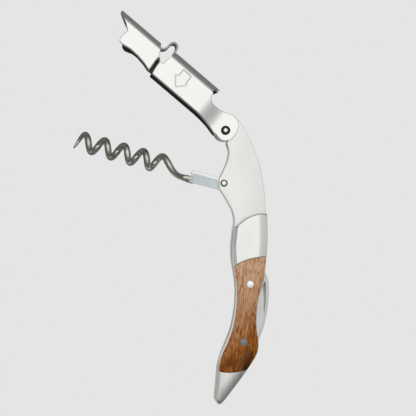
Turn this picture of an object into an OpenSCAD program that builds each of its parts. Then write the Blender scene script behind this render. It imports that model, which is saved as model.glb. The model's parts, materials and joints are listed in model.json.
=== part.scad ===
// Waiters corkscrew, lying open on its side: X across, Y along the handle, Z through its thickness.
// Every hinge turns about Z. All sizes are in millimetres.

/* [Thickness] */
// Thickness of the whole tool, over the scales and over the lever
full_t = 12.4; // [11.5:0.1:14]
// Thickness of each steel side plate
plate_t = 1.5; // [1.2:0.1:1.7]
// Gap between the side plates, where the knife, worm and springs sit
gap_t = 2.0; // [1.8:0.1:2.4]

/* [Pivots] */
// Radius of the lever pivot's shaft
lever_pin_r = 1.3; // [1:0.1:1.6]
// Radius of the other rivets' shafts
rivet_r = 1.1; // [0.9:0.1:1.3]
// Radius of the small rivet heads
rivet_head_r = 1.5; // [1.4:0.05:1.8]
// Radial clearance of a turning fit
run_clear = 0.05; // [0.03:0.01:0.08]
// Thickness of each washer
washer_t = 0.2; // [0.1:0.05:0.2]
// Axial play beside each washer
play = 0.05; // [0.03:0.01:0.05]

/* [Lever] */
// Direction of the lever, counter-clockwise from X
lever_angle = 140.1; // [125:0.1:150]
// Thickness of the lever's sheet steel
sheet_t = 1.2; // [0.9:0.1:1.3]
// Outer radius of the bends along the channel
bend_r = 2.7; // [2:0.1:3.5]
// Height of the first boot's web above the pivot line
boot_web = 11.05; // [10.5:0.05:11.5]
// Height of the claw's web above the pivot line
claw_web = 9.95; // [9.5:0.05:10]
// Radius of the lever's ears round the pivot
ear_r = 4.4; // [4.2:0.1:4.8]

/* [Step spring] */
// Thickness of the strip that joins the two boots
strip_t = 0.8; // [0.6:0.1:0.8]
// Width of the strip
strip_w = 7.0; // [5:0.2:7]

/* [Worm] */
// Direction of the worm, counter-clockwise from X
worm_angle = 164.8; // [160:0.1:175]
// Diameter of the worm's wire
wire_d = 2.4; // [2:0.1:2.6]
// Outer diameter of the coil
coil_d = 8.6; // [8:0.1:8.8]
// Advance of the coil in one turn
coil_pitch = 8.25; // [8:0.05:8.5]
// Full turns between the coil's first and last peaks
coil_turns = 4; // [3:1:4]

/* [Knife] */
// Thickness of the knife blade
blade_t = 1.5; // [1.2:0.1:1.5]

/* [Hidden] */
$fn = 48;

eps = 0.01;
mid_z = full_t / 2;
front_gap_z = mid_z + gap_t / 2;
front_plate_z = front_gap_z + plate_t;
rear_gap_z = mid_z - gap_t / 2;
rear_plate_z = rear_gap_z - plate_t;
scale_t = rear_plate_z;
ear_gap = washer_t + play;
ear_z = front_plate_z + ear_gap;

// Pivots, on the X-Y plane
lever_pivot = [22.05, 32.25];
worm_pivot = [21.6, 10.4];
handle_pin = [32.1, -31.4];
knife_pivot = [29.4, -55.3];
upper_pin = [31.5, 18];
bolster_pin_points = [[29.5, -13], [34.8, -11.5]];
tip_pin_points = [[22, -71], [20.5, -76]];
small_pin_r = 0.9;
tip_pin_r = 0.7;
blind_pin_reach = 0.7;

// A smooth curve through every point of a list, by Catmull and Rom's rule
function blend_point(a, b, c, d, t) =
    ((2 * b) + (c - a) * t + (2 * a - 5 * b + 4 * c - d) * t * t
    + (3 * b - a - 3 * c + d) * t * t * t) / 2;
function curve(p, steps = 5) = [
    for (i = [0 : len(p) - 2])
        for (k = [0 : steps - 1])
            blend_point(p[max(i - 1, 0)], p[i], p[i + 1], p[min(i + 2, len(p) - 1)], k / steps),
    p[len(p) - 1]
];
function arc(c, r, a0, a1, steps = 10) = [
    for (k = [0 : steps]) c + r * [cos(a0 + (a1 - a0) * k / steps), sin(a0 + (a1 - a0) * k / steps)]
];

// Sides of the handle, from the top down
left_neck = [[22.8, 27.0], [23.6, 24.4], [23.65, 22.0], [22.6, 18.3], [20.4, 13.6], [19.6, 12.2]];
left_belly = [[19.6, 8.4], [21.4, 5.7], [23.6, 2.0], [25.3, -1.5], [26.0, -5], [25.7, -10],
    [25.0, -16], [25.2, -22], [26.1, -28], [26.6, -34], [26.3, -41], [24.8, -49.3],
    [22.5, -55.5], [20.2, -61], [19.3, -65], [19.0, -69], [18.4, -76], [18.05, -79.6]];
right_side = [[25.5, 37.4], [28, 36.2], [31.9, 30.2], [34.4, 24], [36.5, 18.6], [38.1, 11],
    [38.8, 3.5], [39.3, -4], [39.45, -9], [39.35, -15], [38.8, -23], [37.8, -30.5],
    [35.7, -37.7], [34.9, -44], [34.9, -50], [35.7, -55.5], [35.15, -60], [32.8, -64.2],
    [28.3, -70.7], [21.2, -79.8]];
tip_round = [[21.2, -79.8], [20.2, -80.9], [18.8, -80.95], [18.05, -79.6]];

module side_outline() {
    polygon(concat(
        arc(lever_pivot, 4.6, 286, 100, 12),
        curve(right_side),
        curve(tip_round, 3),
        [for (i = [len(curve(left_belly)) - 1 : -1 : 0]) curve(left_belly)[i]],
        [for (i = [len(curve(left_neck)) - 1 : -1 : 0]) curve(left_neck)[i]]
    ));
}

// Seams between bolster, wood and tip, as curves from left to right
bolster_top = [[25.0, -8.6], [26.8, -6.9], [28.9, -5.2], [31.5, -3.6], [34.6, -2.5], [37.4, -2.1], [39.6, -2.5]];
wood_top = [[24.6, -24.5], [27, -23], [30.2, -21.6], [34, -20.7], [39.2, -20.1]];
wood_end = [[18, -67.2], [21, -67.6], [24, -67.8], [27, -67.6], [30, -67.1]];

module below(line, depth) {
    polygon(concat(
        [[10, line[0][1]]], curve(line), [[45, line[len(line) - 1][1]], [45, -depth], [10, -depth]]
    ));
}

module slab(z, t) {
    translate([0, 0, z]) linear_extrude(t) children();
}

module hole(p, r) {
    translate([p[0], p[1], -5]) cylinder(r = r, h = full_t + 10);
}

module shaft(p, r, z0, z1) {
    translate([p[0], p[1], z0]) cylinder(r = r, h = z1 - z0);
}

module ring(p, outer, inner, z, t) {
    difference() {
        shaft(p, outer, z, z + t);
        hole(p, inner);
    }
}

// The same solid turned over, for the rear half
module rear_side() {
    translate([0, 0, full_t]) mirror([0, 0, 1]) children();
}

module half_plate() {
    difference() {
        slab(front_gap_z, plate_t) side_outline();
        hole(lever_pivot, lever_pin_r);
        hole(worm_pivot, rivet_r);
        hole(handle_pin, rivet_r);
        hole(knife_pivot, rivet_r);
        for (p = bolster_pin_points) hole(p, small_pin_r);
        for (p = tip_pin_points) hole(p, tip_pin_r);
        shaft(upper_pin, small_pin_r, front_gap_z - eps, front_gap_z + blind_pin_reach);
    }
}

module front_plate() {
    color("#e9e8e4") half_plate();
}

module rear_plate() {
    color("#e9e8e4") rear_side() half_plate();
}

module upper_spring() {
    color("#b9bab6") difference() {
        slab(rear_gap_z, gap_t) difference() {
            intersection() {
                side_outline();
                translate([15, -9]) square([30, 50]);
            }
            // room for the tang and for the worm as it folds in
            translate(worm_pivot) circle(r = 3.7);
            polygon(concat([[10, 14.5], [22, 14]], curve([[24.9, 11.8], [25.6, 5], [27.5, -2], [28.2, -10]]), [[10, -10]]));
            polygon([[10, 28], [20, 26.5], [25, 24.5], [25, 21], [23.5, 17], [22, 14], [10, 14]]);
        }
        hole(lever_pivot, lever_pin_r);
        shaft(upper_pin, small_pin_r, 0, full_t);
    }
}

module knife_spring() {
    color("#b9bab6") difference() {
        slab(rear_gap_z, gap_t) intersection() {
            side_outline();
            polygon(concat(
                [[20, -56.8], [20, -9.3], [38.3, -9.3], [37.5, -17]],
                curve([[34.2, -20.5], [32.6, -25], [33.6, -29.5], [33.4, -33], [30.6, -37],
                    [28.6, -42], [27.6, -46], [25.5, -51.5], [24.5, -54.5], [22, -56.8]])
            ));
        }
        hole(handle_pin, rivet_r);
        for (p = bolster_pin_points) hole(p, small_pin_r);
    }
}

module tip_spacer() {
    color("#b9bab6") difference() {
        slab(rear_gap_z, gap_t) intersection() {
            side_outline();
            polygon([[10, -62.5], [20.5, -64], [24.5, -67], [27.3, -71], [27.3, -85], [10, -85]]);
        }
        for (p = tip_pin_points) hole(p, tip_pin_r);
    }
}

module half_bolster() {
    difference() {
        slab(front_plate_z, scale_t) intersection() {
            side_outline();
            difference() {
                below(bolster_top, 60);
                below(wood_top, 60);
            }
        }
        for (p = bolster_pin_points) shaft(p, small_pin_r, 0, full_t - 1.2);
    }
}

module front_bolster() {
    color("#cfcfca") half_bolster();
}

module rear_bolster() {
    color("#cfcfca") rear_side() half_bolster();
}

module half_scale() {
    difference() {
        slab(front_plate_z, scale_t) intersection() {
            side_outline();
            difference() {
                below(wood_top, 90);
                below(wood_end, 90);
            }
        }
        for (p = [handle_pin, knife_pivot]) {
            hole(p, rivet_r);
            shaft(p, rivet_head_r, full_t - 1, full_t + eps);
        }
    }
}

module front_scale() {
    color("#9c5c30") half_scale();
}

module rear_scale() {
    color("#9c5c30") rear_side() half_scale();
}

module half_tip() {
    difference() {
        slab(front_plate_z, scale_t) intersection() {
            side_outline();
            below(wood_end, 90);
        }
        for (p = tip_pin_points) shaft(p, tip_pin_r, 0, full_t - 1.5);
    }
}

module front_tip() {
    color("#a9a9a3") half_tip();
}

module rear_tip() {
    color("#a9a9a3") rear_side() half_tip();
}

// A rivet with a flat shank and two heads, the same at both ends
module rivet(p, shank_r, head_r, reach, head_t) {
    shaft(p, shank_r, mid_z - reach, mid_z + reach);
    for (s = [-1, 1])
        translate([p[0], p[1], mid_z + s * (reach - head_t / 2)])
            cylinder(r = head_r, h = head_t, center = true);
}

module handle_rivet() {
    color("#f2f2f0") rivet(handle_pin, rivet_r, rivet_head_r, full_t / 2, 1);
}

module knife_pivot_rivet() {
    color("#c9ccce") rivet(knife_pivot, rivet_r, rivet_head_r, full_t / 2, 1);
}

module worm_pivot_rivet() {
    color("#dcdcd8") rivet(worm_pivot, rivet_r, rivet_head_r, front_plate_z - mid_z + 0.8, 0.8);
}

module lever_pivot_rivet() {
    color("#dcdcd8") rivet(lever_pivot, lever_pin_r, 1.9, ear_z + sheet_t + play + 0.8 - mid_z, 0.8);
}

module bolster_pins() {
    color("silver") for (p = bolster_pin_points) shaft(p, small_pin_r, 1.2, full_t - 1.2);
}

module tip_pins() {
    color("silver") for (p = tip_pin_points) shaft(p, tip_pin_r, 1.5, full_t - 1.5);
}

module spring_pin() {
    color("silver")
        shaft(upper_pin, small_pin_r, rear_gap_z - blind_pin_reach, front_gap_z + blind_pin_reach);
}

module lever_washers() {
    color("silver") for (z = [rear_plate_z - washer_t, front_plate_z])
        ring(lever_pivot, 3.2, lever_pin_r, z, washer_t);
}

module worm_washers() {
    color("#c9a45c") for (z = [rear_gap_z, front_gap_z - washer_t])
        ring(worm_pivot, 1.9, rivet_r, z, washer_t);
}

module knife_washers() {
    color("#c9a45c") for (z = [rear_gap_z, front_gap_z - washer_t])
        ring(knife_pivot, 3, rivet_r, z, washer_t);
}

// Lever frame: x runs from the pivot to the claw, y towards the open side of the channel
module lever_frame() {
    translate([lever_pivot[0], lever_pivot[1], 0]) rotate([0, 0, lever_angle]) children();
}

// Open edge of the first boot, and where its ears step out to the channel's width
open_edge = 2.35;
step_from = 6;
step_to = 12.6;

module boot_outline() {
    polygon(concat(
        arc([0, 0], ear_r, 195, 82, 12),
        curve([[2.6, 4.2], [4.4, 3.75], [7, 3.1], [10.6, 2.6], [14, open_edge]], 4),
        [[38.5, open_edge], [38.9, 0], [39.1, -4.2], [37.3, -4.1], [36.1, -boot_web - 1]],
        curve([[12.5, -boot_web - 1], [12.7, -boot_web + 0.4], [13.7, -8.6], [13.7, -6.6], [12.6, -5.2],
            [10.8, -4.8], [8.2, -4.85], [5.7, -5.35], [3.6, -6.2], [2, -6.8], [0.5, -6.9],
            [-1.4, -6.4], [-2.9, -5.2], [-3.8, -3.2], [-4.25, -1.2]], 4)
    ));
}

// One cheek of the first boot: ear, step and flange, folded from one strip
module cheek() {
    flange_z = full_t - sheet_t;
    rotate([90, 0, 0]) translate([0, 0, -7]) linear_extrude(20)
        polygon([[-8, ear_z], [step_from, ear_z], [step_to, flange_z], [45, flange_z],
            [45, full_t], [step_to - 0.35, full_t], [step_from - 0.35, ear_z + sheet_t],
            [-8, ear_z + sheet_t]]);
}

// A channel of sheet steel, web at y = -web, that runs from x0 to x1
module channel(web, x0, x1, open) {
    translate([x0, 0, 0]) rotate([90, 0, 90]) linear_extrude(x1 - x0) difference() {
        union() {
            translate([-web + bend_r, 0]) square([web + open - bend_r, full_t]);
            translate([-web, bend_r]) square([web, full_t - 2 * bend_r]);
            for (z = [bend_r, full_t - bend_r]) translate([-web + bend_r, z]) circle(r = bend_r);
        }
        translate([-web + bend_r, sheet_t]) square([web + open, full_t - 2 * sheet_t]);
        translate([-web + sheet_t, bend_r]) square([web, full_t - 2 * bend_r]);
        for (z = [bend_r, full_t - bend_r])
            translate([-web + bend_r, z]) circle(r = bend_r - sheet_t);
    }
}

// The block arrow pressed into the near flange, pointing at the open side
arrow_depth = 0.15;
arrow_line = 0.35;
module arrow() {
    shape = [[25.8, -7.9], [29.5, -7.9], [29.5, -4.4], [30.7, -4.3], [27.6, -0.4], [24.3, -4.3], [25.8, -4.4]];
    for (i = [0 : len(shape) - 1]) {
        a = shape[i];
        b = shape[(i + 1) % len(shape)];
        d = b - a;
        translate([a[0], a[1], full_t - arrow_depth]) rotate([0, 0, atan2(d[1], d[0])])
            translate([-arrow_line / 2, -arrow_line / 2, 0])
                cube([norm(d) + arrow_line, arrow_line, 1]);
    }
}

rivet_u = 31;
claw_rivet_u = 47.5;

module lever_channel() {
    color("#efefeb") lever_frame() difference() {
        union() {
            intersection() {
                union() {
                    cheek();
                    rear_side() cheek();
                }
                slab(-1, full_t + 2) intersection() {
                    boot_outline();
                    translate([-10, -boot_web + bend_r]) square([60, 20]);
                }
            }
            intersection() {
                channel(boot_web, step_to + 0.2, 40, open_edge);
                slab(-1, full_t + 2) boot_outline();
            }
        }
        hole([0, 0], lever_pin_r + run_clear);
        arrow();
        cross_hole(rivet_u, boot_web + 1, 0.9);
    }
}

// A hole or pin across a web, along y
module cross_hole(x, top, r) {
    translate([x, -top - 1, mid_z]) rotate([-90, 0, 0]) cylinder(r = r, h = 5);
}

strip_in_boot = boot_web - sheet_t - strip_t / 2;
strip_in_claw = claw_web - sheet_t - strip_t / 2;

function strip_side(line, off) = [
    for (i = [0 : len(line) - 1])
        let (a = line[max(i - 1, 0)], b = line[min(i + 1, len(line) - 1)], d = (b - a) / norm(b - a))
            line[i] + off * [-d[1], d[0]]
];

module step_spring() {
    line = concat(
        [[28, -strip_in_boot]],
        curve([[36.5, -strip_in_boot], [37.25, -10.2], [37.45, -11.4], [37.8, -12.7], [38.7, -13.5],
            [39.7, -13.1], [40.1, -11.8], [40.2, -10.1], [40.75, -9], [41.8, -strip_in_claw]], 4),
        [[51, -strip_in_claw]]
    );
    a = strip_side(line, strip_t / 2);
    b = strip_side(line, -strip_t / 2);
    color("#c8c8c3") lever_frame() difference() {
        slab(mid_z - strip_w / 2, strip_w)
            polygon(concat(a, [for (i = [len(b) - 1 : -1 : 0]) b[i]]));
        cross_hole(rivet_u, boot_web, 0.9);
        cross_hole(claw_rivet_u, claw_web, 0.9);
    }
}

// A flush rivet through a web and the strip, with its head inside
module web_rivet(x, web) {
    lever_frame() translate([x, -web, mid_z]) rotate([-90, 0, 0]) {
        cylinder(r = 0.9, h = sheet_t + strip_t + 0.6);
        translate([0, 0, sheet_t + strip_t]) cylinder(r = 1.6, h = 0.6);
    }
}

module spring_rivet() {
    color("silver") web_rivet(rivet_u, boot_web);
}

module claw_rivet() {
    color("silver") web_rivet(claw_rivet_u, claw_web);
}

module claw_outline() {
    polygon(concat(
        [[64.2, -claw_web - 1], [64.2, -claw_web], [56.9, -4.9], [57.4, -0.4]],
        curve([[57.1, 0.4], [56.2, 1], [55, 0.9], [52.5, 0.8], [50, 1.0], [46, 1.5], [41.6, 2.2]], 3),
        curve([[39.5, 1.8], [39.8, -2], [40.3, -4.6], [41.6, -7.4], [43.4, -claw_web - 1]], 4)
    ));
}

// The claw's flanges step in at their rear end, to pass between the first boot's
module lever_claw() {
    tuck = sheet_t + 0.12;
    color("#f1f1ee") lever_frame() difference() {
        intersection() {
            union() {
                channel(claw_web, 43.5, 66, 3);
                for (rear = [0, 1]) translate([0, 0, rear * full_t]) mirror([0, 0, rear])
                    rotate([90, 0, 0]) translate([0, 0, -3]) linear_extrude(claw_web - bend_r + 3)
                        polygon([[38, tuck], [40.2, tuck], [43.5, 0], [43.6, 0], [43.6, sheet_t],
                            [40.6, tuck + sheet_t], [38, tuck + sheet_t]]);
            }
            slab(-1, full_t + 2) claw_outline();
        }
        cross_hole(claw_rivet_u, claw_web, 0.9);
    }
}

// Worm frame: x runs from the pivot to the worm's tip, y downwards across it
module worm_frame() {
    translate([worm_pivot[0], worm_pivot[1], mid_z]) rotate([0, 0, worm_angle]) children();
}

coil_r = (coil_d - wire_d) / 2;
coil_axis = 1.1;
shank_from = 12.9;
coil_from = 17;
last_peak = 60.4;
tip_turn = 152;
tip_taper = 6;
first_peak = last_peak - coil_pitch * coil_turns;

// How far the first half turn has come: slowly out of the shank, then up to the steady coil
function run_in(t) = t <= 0 ? 0 : 0.86 * pow(t, 1.35) + 0.14 * pow(t, 8);
// Turn of the coil, in degrees before its last peak, at a distance x along the worm
function coil_turn(x) = x > first_peak
    ? (x - last_peak) * 360 / coil_pitch
    : -360 * coil_turns - 180 * (1 - run_in((x - coil_from) / (first_peak - coil_from)));
function wire_centre(x) = let (a = coil_turn(x))
    [x, -(coil_axis + coil_r * cos(a)), -coil_r * sin(a)];
function unit(v) = v / norm(v);

// The wire is a tube swept along the shank and the coil, ground to a point
module worm() {
    sides = 10;
    rings = 120;
    tip_x = last_peak + coil_pitch * tip_turn / 360;
    points = [
        for (i = [0 : rings])
            let (
                x = shank_from + (tip_x - shank_from) * i / rings,
                c = wire_centre(x),
                d = unit(wire_centre(x + 0.05) - wire_centre(x - 0.05)),
                side = unit(cross(d, [0, 0.3, 1])),
                up = cross(side, d),
                r = wire_d / 2 * min(1, 0.12 + 0.88 * sqrt((tip_x - x) / tip_taper))
            )
            for (k = [0 : sides - 1])
                c + r * (side * cos(360 * k / sides) + up * sin(360 * k / sides))
    ];
    color("#8b8c86") worm_frame() polyhedron(
        points = points,
        faces = concat(
            [[for (k = [0 : sides - 1]) k]],
            [for (i = [0 : rings - 1]) for (k = [0 : sides - 1])
                [i * sides + k, (i + 1) * sides + k, (i + 1) * sides + (k + 1) % sides]],
            [for (i = [0 : rings - 1]) for (k = [0 : sides - 1])
                [i * sides + k, (i + 1) * sides + (k + 1) % sides, i * sides + (k + 1) % sides]],
            [[for (k = [sides - 1 : -1 : 0]) rings * sides + k]]
        )
    );
}

module worm_tang() {
    tang_t = gap_t - 2 * (washer_t + play);
    color("#b4bdc0") worm_frame() translate([0, 0, -tang_t / 2]) linear_extrude(tang_t) difference() {
        union() {
            circle(r = 3.2);
            polygon([[0, -1.9], [13.6, -1.9], [14.2, -0.6], [shank_from, 0.55], [shank_from, 3.3], [0, 3.2]]);
        }
        circle(r = rivet_r + run_clear);
    }
}

// Knife outline about its pivot: x across to the spine, y along the folded blade
module knife_blade() {
    spine = [[5.4, -3.2], [6.7, -0.6], [7.8, 2.2], [9.4, 6.4], [10.4, 11], [11.2, 17],
        [11.35, 22.5], [10.9, 26.0], [9.4, 29.2], [6.6, 32.4]];
    edge = [[6.6, 32.4], [5.6, 29], [4.7, 24.5], [3.9, 18.5], [3.4, 12], [2.9, 6.5], [1.5, 4.0]];
    color("#d2d3d0") difference() {
        slab(mid_z - blade_t / 2, blade_t) translate(knife_pivot) difference() {
            union() {
                circle(r = 4.3);
                polygon(concat(curve(spine), curve(edge), [[-1, 0], [2, -3.8]]));
            }
            circle(r = rivet_r + run_clear);
        }
        // nail nick along the spine
        slab(mid_z + blade_t / 2 - 0.4, 1) translate(knife_pivot)
            polygon(curve([[9.5, 24.1], [10.0, 22.4], [9.9, 17.5], [9.1, 11.4], [8.9, 17], [8.9, 21.5], [9.5, 24.1]]));
    }
}

front_plate();
rear_plate();
upper_spring();
knife_spring();
tip_spacer();
front_bolster();
rear_bolster();
front_scale();
rear_scale();
front_tip();
rear_tip();
handle_rivet();
knife_pivot_rivet();
worm_pivot_rivet();
lever_pivot_rivet();
bolster_pins();
tip_pins();
spring_pin();
lever_washers();
worm_washers();
knife_washers();
lever_channel();
step_spring();
spring_rivet();
lever_claw();
claw_rivet();
worm();
worm_tang();
knife_blade();
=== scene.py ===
import bpy
import json
import math
import numpy as np
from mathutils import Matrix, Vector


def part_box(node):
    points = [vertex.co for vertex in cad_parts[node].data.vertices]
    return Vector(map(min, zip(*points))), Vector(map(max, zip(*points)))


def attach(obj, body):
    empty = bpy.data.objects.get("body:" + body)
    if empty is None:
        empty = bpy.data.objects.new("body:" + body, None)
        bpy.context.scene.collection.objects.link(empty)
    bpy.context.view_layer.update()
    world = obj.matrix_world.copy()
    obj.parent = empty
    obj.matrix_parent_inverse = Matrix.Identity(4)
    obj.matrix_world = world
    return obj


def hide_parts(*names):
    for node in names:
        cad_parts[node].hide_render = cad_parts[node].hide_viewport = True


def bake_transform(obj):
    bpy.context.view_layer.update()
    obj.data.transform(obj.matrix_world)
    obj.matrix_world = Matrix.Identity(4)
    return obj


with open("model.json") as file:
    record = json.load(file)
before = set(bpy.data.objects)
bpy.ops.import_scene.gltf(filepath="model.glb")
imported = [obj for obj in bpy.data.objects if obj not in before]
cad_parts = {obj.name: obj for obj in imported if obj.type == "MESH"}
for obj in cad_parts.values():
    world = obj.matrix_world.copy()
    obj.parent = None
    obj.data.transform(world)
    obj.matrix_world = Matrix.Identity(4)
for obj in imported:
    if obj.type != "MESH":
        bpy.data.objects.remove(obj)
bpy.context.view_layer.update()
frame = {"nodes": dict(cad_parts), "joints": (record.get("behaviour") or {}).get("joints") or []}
mm = 0.001
joints = {j["name"]: j for j in frame["joints"]}

tool = dict(
    leverAngle=140.1,   # degrees from +X, where the lever lies at rest
    wormAngle=164.8,
    thickness=12.4,     # mm, over the scales
    plateTop=8.7,       # mm, outer face of the front side plate
    plateThick=1.5,
)
leverPivot = np.array(joints["lever_fold"]["pos_m"][:2]) / mm
wormPivot = np.array(joints["worm_fold"]["pos_m"][:2]) / mm
knifePivot = np.array(joints["knife_fold"]["pos_m"][:2]) / mm


def linear(hexColor):
    # sRGB hex to linear: each channel / 12.92 below 0.04045, else ((c + 0.055) / 1.055) ^ 2.4
    c = np.array([int(hexColor[i:i + 2], 16) / 255 for i in (1, 3, 5)])
    c = np.where(c <= 0.04045, c / 12.92, ((c + 0.055) / 1.055) ** 2.4)
    return (*c.tolist(), 1.0)


def addNode(tree, kind, links=None, **settings):
    # adds one node; settings are sockets by name (spaces as _) or attributes, links are socket: source
    node = tree.nodes.new(kind)
    for key, value in settings.items():
        socket = node.inputs.get(key.replace("_", " "))
        if socket is not None and not hasattr(type(node), key):
            socket.default_value = value
        else:
            setattr(node, key, value)
    for key, source in (links or {}).items():
        tree.links.new(source, node.inputs[key])
    return node


def ramp(tree, factor, stops):
    # a colour ramp from (place, colour) stops; a plain number is a grey
    node = addNode(tree, "ShaderNodeValToRGB", {"Fac": factor})
    elements = node.color_ramp.elements
    while len(elements) < len(stops):
        elements.new(0.5)
    for element, (place, colour) in zip(elements, stops):
        element.position = place
        element.color = linear(colour) if isinstance(colour, str) else (colour,) * 3 + (1,)
    return node.outputs["Color"]


def newMaterial(name, colour, roughness, metallic=1.0, **sockets):
    # a Principled material with its uniform numbers set on the shader's own sockets
    material = bpy.data.materials.new(name)
    material.use_nodes = True
    shader = material.node_tree.nodes["Principled BSDF"]
    shader.inputs["Base Color"].default_value = linear(colour)
    shader.inputs["Roughness"].default_value = roughness
    shader.inputs["Metallic"].default_value = metallic
    for key, value in sockets.items():
        shader.inputs[key.replace("_", " ")].default_value = value
    return material, material.node_tree, shader


def grain(tree, angle, size):
    # object coordinates turned so that x runs along the grain, then divided by the pattern's size in mm
    place = addNode(tree, "ShaderNodeTexCoord")
    mapping = addNode(tree, "ShaderNodeMapping", {"Vector": place.outputs["Object"]}, vector_type="TEXTURE",
                      Rotation=(0, 0, math.radians(angle)), Scale=tuple(s * mm for s in size))
    return mapping.outputs["Vector"]


def spanned(tree, value, low, high, toLow, toHigh):
    # carries low..high over to toLow..toHigh and clamps it there
    node = addNode(tree, "ShaderNodeMapRange", {"Value": value},
                   From_Min=low, From_Max=high, To_Min=toLow, To_Max=toHigh)
    return node.outputs["Result"]


def mixed(tree, factor, first, second):
    # from the first colour at 0 to the second at 1; each is a hex colour or a socket
    node = addNode(tree, "ShaderNodeMix", {"Factor": factor}, data_type="RGBA")
    for socket, colour in ((6, first), (7, second)):
        if isinstance(colour, str):
            node.inputs[socket].default_value = linear(colour)
        else:
            tree.links.new(colour, node.inputs[socket])
    return node.outputs[2]


def bump(tree, shader, height, strength, distance):
    # fine relief for the shader's normal
    node = addNode(tree, "ShaderNodeBump", {"Height": height}, Strength=strength, Distance=distance)
    tree.links.new(node.outputs["Normal"], shader.inputs["Normal"])


def steel(name, light, dark, roughness, spread, angle, lineWidth=0.5, bumpStrength=0.05):
    # stainless steel, satin finished along the piece: the eye gets soft long streaks in its highlights
    material, tree, shader = newMaterial(name, light, roughness)
    lines = addNode(tree, "ShaderNodeTexNoise", {"Vector": grain(tree, angle, (18, lineWidth, lineWidth))},
                    Scale=1.0, Detail=3.0, Roughness=0.55)
    cloud = addNode(tree, "ShaderNodeTexNoise", {"Vector": grain(tree, angle, (14, 9, 9))},
                    Scale=1.0, Detail=2.0)
    tree.links.new(spanned(tree, lines.outputs["Fac"], 0.3, 0.7, roughness - spread, roughness + spread),
                   shader.inputs["Roughness"])
    both = addNode(tree, "ShaderNodeMath", {0: lines.outputs["Fac"], 1: cloud.outputs["Fac"]},
                   operation="ADD")
    shade = spanned(tree, both.outputs[0], 0.75, 1.2, 0.0, 1.0)
    tree.links.new(mixed(tree, shade, dark, light), shader.inputs["Base Color"])
    bump(tree, shader, lines.outputs["Fac"], bumpStrength, 0.02 * mm)
    return material


def rosewood(name):
    # oiled golden-brown hardwood, hand-rounded: fine flecks, long streaks, dark pores, a soft gloss, a
    # painted sheen near the bolster and painted shade towards the tip
    material, tree, shader = newMaterial(name, "#a9683a", 0.5, 0.0, Specular_IOR_Level=0.17)
    angle = 80
    warp = addNode(tree, "ShaderNodeTexNoise", {"Vector": grain(tree, angle, (16, 5, 8))},
                   Scale=1.0, Detail=2.0)
    shift = addNode(tree, "ShaderNodeVectorMath", {0: warp.outputs["Color"]}, operation="SCALE", Scale=1.3)
    streakPlace = addNode(tree, "ShaderNodeVectorMath",
                          {0: grain(tree, angle, (9, 0.9, 2)), 1: shift.outputs[0]})
    streaks = addNode(tree, "ShaderNodeTexNoise", {"Vector": streakPlace.outputs[0]},
                      Scale=1.0, Detail=5.0, Roughness=0.68)
    flecks = addNode(tree, "ShaderNodeTexNoise", {"Vector": grain(tree, angle + 7, (2.4, 0.42, 1))},
                     Scale=1.0, Detail=2.0, Roughness=0.5)
    fleckHeight = spanned(tree, flecks.outputs["Fac"], 0.3, 0.7, -0.17, 0.17)
    tone = addNode(tree, "ShaderNodeMath", {0: streaks.outputs["Fac"], 1: fleckHeight}, operation="ADD")
    golden = ramp(tree, tone.outputs[0], [
        (0.26, "#763404"), (0.40, "#a65710"), (0.50, "#be6f1e"), (0.62, "#d78a34"), (0.80, "#ecac5c")])
    # the pale ramp is the colour of the painted sheen
    pale = ramp(tree, tone.outputs[0], [
        (0.26, "#cf7b42"), (0.40, "#f8ae7c"), (0.50, "#ffce9f"), (0.62, "#ffddb8"), (0.80, "#ffecd6")])
    place = addNode(tree, "ShaderNodeTexCoord")
    split = addNode(tree, "ShaderNodeSeparateXYZ", {0: place.outputs["Object"]})
    # a painted sheen: pale at the bolster and golden towards the tip; and dark patches at the outer side,
    # partly wood figure and partly painted shade
    across = addNode(tree, "ShaderNodeMath", {0: split.outputs["X"]}, operation="MULTIPLY")
    across.inputs[1].default_value = -0.9
    toTip = addNode(tree, "ShaderNodeMath", {0: split.outputs["Y"], 1: across.outputs[0]}, operation="ADD")
    sheenToGolden = mixed(tree, spanned(tree, toTip.outputs[0], -0.058, -0.083, 0.0, 1.0), pale, golden)
    patches = addNode(tree, "ShaderNodeTexNoise", {"Vector": grain(tree, angle - 14, (9, 2.6, 5))},
                      Scale=1.0, Detail=4.0, Roughness=0.6)
    shadeToTip = spanned(tree, toTip.outputs[0], -0.078, -0.093, 0.0, 1.0)
    patchy = spanned(tree, patches.outputs["Fac"], 0.44, 0.58, 0.1, 1.0)
    cloudy = addNode(tree, "ShaderNodeMath", {0: shadeToTip, 1: patchy}, operation="MULTIPLY")
    deep = mixed(tree, spanned(tree, cloudy.outputs[0], 0.0, 1.0, 0.0, 0.9), sheenToGolden, "#2c1303")
    pores = addNode(tree, "ShaderNodeTexNoise", {"Vector": grain(tree, angle + 3, (3.0, 0.22, 0.5))},
                    Scale=1.0, Detail=1.0)
    poreMask = spanned(tree, pores.outputs["Fac"], 0.60, 0.70, 0.0, 0.6)
    tree.links.new(mixed(tree, poreMask, deep, "#4a2208"), shader.inputs["Base Color"])
    height = addNode(tree, "ShaderNodeMath", {0: poreMask}, operation="MULTIPLY")
    height.inputs[1].default_value = -1.0
    bump(tree, shader, height.outputs[0], 0.3, 0.06 * mm)
    return material


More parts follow.
